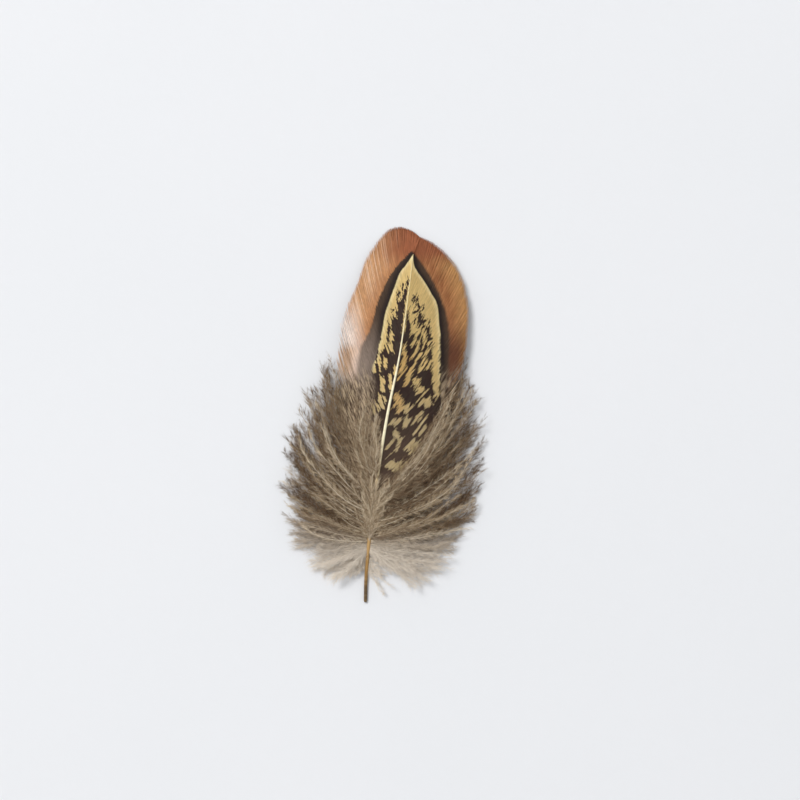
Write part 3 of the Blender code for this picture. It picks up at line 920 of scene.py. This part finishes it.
def add_barbs(cloth, stems_at, count, hairs, sizes, luck, thickness, y, chance, reach):
    """Adds downy barbs: a fine stem each, with hairs all along it that cling together in clumps."""
    shares = np.linspace(0.0, 1.0, DOWN_STEPS)
    ones = np.ones((count, DOWN_STEPS))
    section = circle(STEM_SIDES)
    stem = thickness * (1 - 0.75 * shares)[None] * (0.6 + 0.6 * chance) * ones
    fluff = np.stack((ones * y[:, None], ones * shares, ones), axis=-1)
    lines = stems_at(shares[None])
    sweep(cloth, lines, section, stem, stem, 0.0, (0.3, 1), fluff=fluff, luck=chance * ones)
    long = np.linalg.norm(lines[:, -1] - lines[:, 0], axis=-1)[:, None]
    clumps = hairs // CLUMP
    hairs = clumps * CLUMP
    at = np.sort(0.01 + 0.985 * luck.random((count, clumps)), axis=1)
    spot = stems_at(at)
    heading = unit(stems_at(np.minimum(at + 0.01, 1.0)) - stems_at(at - 0.01))
    across = unit(np.cross(heading, UP))
    over = np.cross(across, heading)
    hand = np.where(luck.random((count, clumps)) < 0.5, -1.0, 1.0)[..., None]
    twist = luck.normal(-0.2, 0.45, (count, clumps))[..., None]
    aside = across * hand * np.cos(twist) + over * np.sin(twist)
    lean = (HAIR_LEAN - HAIR_LEAN_LESS * at + luck.normal(0.0, 0.2, (count, clumps)))[..., None]
    way = unit(heading * np.cos(lean) + aside * np.sin(lean))
    length = reach * (0.5 + 0.5 * ease(0.0, 0.15, at)) * (1 - HAIR_SHORTER * at**2)
    length = (length * (0.4 + 0.9 * luck.random((count, clumps)) ** 1.6))[..., None]
    target = spot + unit(way + heading * 0.3) * length
    tone = np.clip(chance + luck.normal(0.0, 0.16, (count, clumps)), 0.0, 1.0)
    at, way, length, target, tone = (
        np.repeat(each, CLUMP, axis=1) for each in (at, way, length, target, tone)
    )
    start = stems_at(np.clip(at + luck.normal(0.0, CLUMP_START, (count, hairs)) / long, 0.0, 1.0))
    end = target + luck.normal(0.0, CLUMP_END, (count, hairs, 3)) * (0.3 + length)
    middle = (start + end) / 2 + (way - unit(end - start)) * length * 0.25
    middle[..., 2] = np.clip(middle[..., 2], 0.05, LOFT_TOP)
    end[..., 2] = np.clip(end[..., 2], 0.02, LOFT_TOP)
    sparse = 0.55 + 0.45 * ease(-27.0, -24.5, y)[:, None]
    half = sizes.barbule_width / MM / 2 * (sparse * (1 - HAIR_THINNER * at))[..., None]
    spin = luck.normal(0.0, 0.5, (count, hairs, 1))
    flat = unit(np.cross(way, UP))
    brim = half * (np.cos(spin) * flat + np.sin(spin) * np.cross(flat, way))
    points = np.stack((start, middle - brim, end, middle + brim), axis=2)
    ids = np.arange(count * hairs * 4).reshape(-1, 4)
    faces = np.concatenate([ids[:, corner] for corner in HAIR_FACES])
    row = (np.arange(count)[:, None] + 0.36) / count + at * 0
    first = 0.004 + 0.99 * np.arange(hairs)[None] / hairs + row * 0
    wide, tall = 0.9 / hairs, 0.58 / count
    cell = np.array(((0.0, 0.0), (wide, 0.0), (wide, tall), (0.0, tall)))
    spots = (np.stack((first, row), axis=-1)[:, :, None] + cell).reshape(-1, 4, 2)
    flat_map = np.concatenate([spots[:, corner] for corner in HAIR_FACES])
    ones = np.ones((count, hairs, 4))
    near = ones * np.array((0.4, 0.2, 0.0, 0.2))
    fluff = np.stack((ones * y[:, None, None], ones * at[..., None], near), axis=-1)
    tones = (ones * tone[..., None]).reshape(-1)
    sets = ((faces, flat_map),)
    cloth.add(points.reshape(-1, 3), sets, fluff=fluff.reshape(-1, 3), luck=tones)


def wavy_stems(roots, tips, side, bow, crown, phase, swing):
    """A function that gives points on barbs, which wander towards their tips and clear the floor."""

    def stems_at(shares):
        shares = np.broadcast_to(shares, (len(roots), shares.shape[-1]))
        wave = np.sin(shares[..., None] * 8.0 + phase) - np.sin(phase)
        lines = bent_lines(roots, tips, side, bow, crown, shares) + swing * wave * shares[..., None]
        lines[..., 2] = np.clip(lines[..., 2], 0.12, LOFT_TOP - 0.1)
        return lines

    return stems_at


def above_vane(ends, side, height):
    """Lifts tips that would end under the vane to just above it."""
    beside = shaft_points(ends[:, 1])
    out = np.abs(ends[:, 0] - beside[:, 0]) / COVER_REACH[side > 0]
    edge = smooth(VANE_EDGE_HEIGHT, ends[:, 1])[:, 0]
    vane = beside[:, 2] + (edge - beside[:, 2]) * out + COVER_GAP
    return height + ease(1.4, 0.8, out) * np.maximum(vane - height, 0.0)


class Layer(NamedTuple):
    """How one layer of down differs from the other, with lengths in mm."""

    drop: float  # of the roots, below the shaft's middle line
    reach: float  # of the shortest barb, as a share of the way to the outline
    loft: tuple  # how far the barbs' middles are raised, from and to
    tip: float  # how far the highest tip is above the lowest
    # The darker end of a layer's tone range is painted shade, darkest in the under layer.
    tone: tuple  # from dark to pale
    hairs: float  # how much longer than usual the hairs are
    covers: bool  # whether it lies over the vane


# The under layer's tones stay dark, as painted shade of the down's depths below the upper layer.
UNDER_LAYER = Layer(0.5, 0.72, (0.2, 1.6), 1.6, (0.0, 0.5), 1.4, False)
OVER_LAYER = Layer(0.0, 0.55, (0.8, 2.2), 2.2, (0.1, 1.0), 1.0, True)


def add_tuft(name, table, side, layer, sizes, luck):
    """One layer of downy barbs along one side."""
    count = sizes.down_barbs
    rows = np.array([row[0] for row in table])
    place = (np.arange(count) + luck.random(count)) / count * (len(rows) - 1)
    y = np.interp(place, np.arange(len(rows)), rows)
    roots = shaft_points(y) - UP * layer.drop
    ends = smooth(table, y)
    short = luck.random(count) ** 0.6
    reach = between((layer.reach, STEM_END), short)
    height = luck.random(count) ** 1.5 * layer.tip + 0.25
    if layer.covers:
        height = above_vane(ends, side, height)
    tips = np.column_stack((ends, height))
    tips[:, :2] = roots[:, :2] + (tips[:, :2] - roots[:, :2]) * reach[:, None]
    tips[:, :2] += luck.normal(0.0, 1.1, (count, 2)) * (1.0 - short)[:, None]
    gain = between(layer.loft, luck.random(count))
    bow = DOWN_BOW * np.clip(4 * place / (len(rows) - 1) - 0.4, -1.0, 1.0)
    bow = bow + luck.normal(0, 0.06, count)
    phase = luck.random((count, 1, 3)) * 2 * np.pi
    swing = luck.normal(0.0, 1.0, (count, 1, 3)).clip(-1.6, 1.6) * np.array(TUFT_SWING)
    stems_at = wavy_stems(roots, tips, side, bow, gain, phase, swing)
    cloth = Cloth()
    chance = between(layer.tone, luck.random((count, 1)))
    reach = layer.hairs * sizes.barbule_length / MM
    add_barbs(cloth, stems_at, count, sizes.barbules, sizes, luck, STEM_RADIUS, y, chance, reach)
    return cloth.object(name)


def add_front(sizes, luck):
    """Short downy barbs over the shaft's lower part and pale ones round the quill."""
    count = sizes.front_barbs + sizes.base_barbs
    base = np.arange(count) >= sizes.front_barbs
    side = np.where(np.arange(count) % 2 == 0, -1.0, 1.0)
    front_y = np.linspace(*FRONT_ROOTS, sizes.front_barbs)
    y = np.concatenate((front_y, np.linspace(*BASE_ROOTS, sizes.base_barbs)))
    y = y + luck.normal(0.0, 0.3, count)
    roots = shaft_points(y) + UP * np.where(base, -0.3, 0.3)[:, None]
    turn = np.where(base, luck.uniform(*BASE_TURN, count), luck.uniform(*FRONT_TURN, count)) * side
    length = luck.uniform(*FRONT_LENGTH, count)
    away = np.stack((np.sin(turn + 0.12), np.cos(turn + 0.12), luck.uniform(0.02, 0.16, count)), axis=-1)
    tips = roots + away * length[:, None]
    phase = luck.random((count, 1, 3)) * 2 * np.pi
    swing = luck.normal(0.0, 1.0, (count, 1, 3)) * np.array(FRONT_SWING)
    stems_at = wavy_stems(roots, tips, 1, 0.05 * side, 0.5, phase, swing)
    cloth = Cloth()
    chance = np.where(base, 0.3, 0.62)[:, None] + 0.5 * luck.random((count, 1))
    reach = 0.6 * sizes.barbule_length / MM
    hairs = sizes.front_barbules
    add_barbs(cloth, stems_at, count, hairs, sizes, luck, STEM_RADIUS * 0.6, y, chance, reach)
    return cloth.object("down_front")


class FEATHER_OT_down(bpy.types.Operator):
    """Add the four tufts of down and the short down in front of the shaft"""

    bl_idname = "feather.down"
    bl_label = "Down"

    def execute(self, context):
        sizes = context.scene.feather_sizes
        material = down_material(context.scene.feather_colours)
        luck = np.random.default_rng(SEED + 1)
        tufts = (
            ("down_left_under", LEFT_DOWN, -1, UNDER_LAYER),
            ("down_left_over", LEFT_COVER, -1, OVER_LAYER),
            ("down_right_under", RIGHT_DOWN, 1, UNDER_LAYER),
            ("down_right_over", RIGHT_COVER, 1, OVER_LAYER),
        )
        for name, table, side, layer in tufts:
            wear(add_tuft(name, table, side, layer, sizes, luck), material)
        wear(add_front(sizes, luck), material)
        return {"FINISHED"}


def add_floor():
    """A round floor whose rim curves up into a low wall."""
    angles = np.linspace(0.0, np.pi / 2, FLOOR_BEND_STEPS)
    bend = np.stack((np.sin(angles), 1 - np.cos(angles)), axis=-1) * FLOOR_BEND + (FLOOR_RADIUS, 0.0)
    profile = np.vstack((bend, (FLOOR_RADIUS + FLOOR_BEND, FLOOR_WALL)))
    around = circle(FLOOR_SIDES)
    rings = [np.column_stack((around * radius, np.full(FLOOR_SIDES, z))) for radius, z in profile]
    points = np.concatenate(rings)
    ids = np.arange(len(points)).reshape(len(profile), FLOOR_SIDES)
    ahead = np.roll(ids, -1, axis=1)
    quads = np.stack((ids[:-1], ahead[:-1], ahead[1:], ids[1:]), axis=-1).reshape(-1, 4)
    mesh = bpy.data.meshes.new("floor")
    mesh.from_pydata(points.tolist(), [], [ids[0].tolist(), *quads[:, ::-1].tolist()])
    mesh.shade_smooth()
    floor = bpy.data.objects.new("floor", mesh)
    bpy.context.scene.collection.objects.link(floor)
    return floor


def add_lamp():
    """A soft round lamp that shines on the feather from the upper left."""
    lamp = bpy.data.lights.new("key_light", "AREA")
    lamp.shape = "DISK"
    lamp.size = LAMP_WIDTH
    lamp.energy = LAMP_POWER
    made = bpy.data.objects.new("key_light", lamp)
    made.location = LAMP_PLACE
    made.rotation_euler = (-Vector(LAMP_PLACE)).to_track_quat("-Z", "Y").to_euler()
    bpy.context.scene.collection.objects.link(made)


class FEATHER_OT_stage(bpy.types.Operator):
    """Add the floor, the lights and the camera"""

    bl_idname = "feather.stage"
    bl_label = "Stage"

    def execute(self, context):
        scene = context.scene
        floor = add_floor()
        floor.data.materials.append(floor_material(scene.feather_colours))
        world = scene.world or bpy.data.worlds.new("studio")
        scene.world = world
        world.use_nodes = True
        sky = world.node_tree.nodes["Background"]
        sky.inputs["Color"].default_value = (*SKY_COLOUR, 1.0)
        sky.inputs["Strength"].default_value = SKY_STRENGTH
        add_lamp()
        camera = bpy.data.cameras.new("camera")
        camera.lens = LENS
        camera.sensor_width = SENSOR_WIDTH
        eye = bpy.data.objects.new("camera", camera)
        centre = Vector(VIEW_CENTRE) * MM
        away = VIEW_WIDTH * MM / SENSOR_WIDTH * LENS
        eye.location = centre + Vector((0.0, 0.0, away))
        camera.clip_start = 0.01
        scene.collection.objects.link(eye)
        scene.camera = eye
        scene.view_settings.view_transform = "Standard"
        return {"FINISHED"}


class FEATHER_PT_panel(bpy.types.Panel):
    """Lists the feather's parts and their settings"""

    bl_label = "Pheasant feather"
    bl_idname = "FEATHER_PT_panel"
    bl_space_type = "VIEW_3D"
    bl_region_type = "UI"
    bl_category = "Feather"

    def draw(self, context):
        for operator in OPERATORS:
            self.layout.operator(operator.bl_idname)
        for group in (context.scene.feather_sizes, context.scene.feather_colours):
            for name in group.bl_rna.properties.keys():
                if name not in {"rna_type", "name"}:
                    self.layout.prop(group, name)


OPERATORS = (FEATHER_OT_shaft, FEATHER_OT_vanes, FEATHER_OT_down, FEATHER_OT_stage)
CLASSES = (FeatherSizes, FeatherColours, *OPERATORS, FEATHER_PT_panel)


def register():
    for made in CLASSES:
        bpy.utils.register_class(made)
    bpy.types.Scene.feather_sizes = PointerProperty(type=FeatherSizes)
    bpy.types.Scene.feather_colours = PointerProperty(type=FeatherColours)


def unregister():
    del bpy.types.Scene.feather_colours
    del bpy.types.Scene.feather_sizes
    for made in reversed(CLASSES):
        bpy.utils.unregister_class(made)


def main():
    register()
    bpy.ops.feather.shaft()
    bpy.ops.feather.vanes()
    bpy.ops.feather.down()
    bpy.ops.feather.stage()


if __name__ == "__main__":
    main()
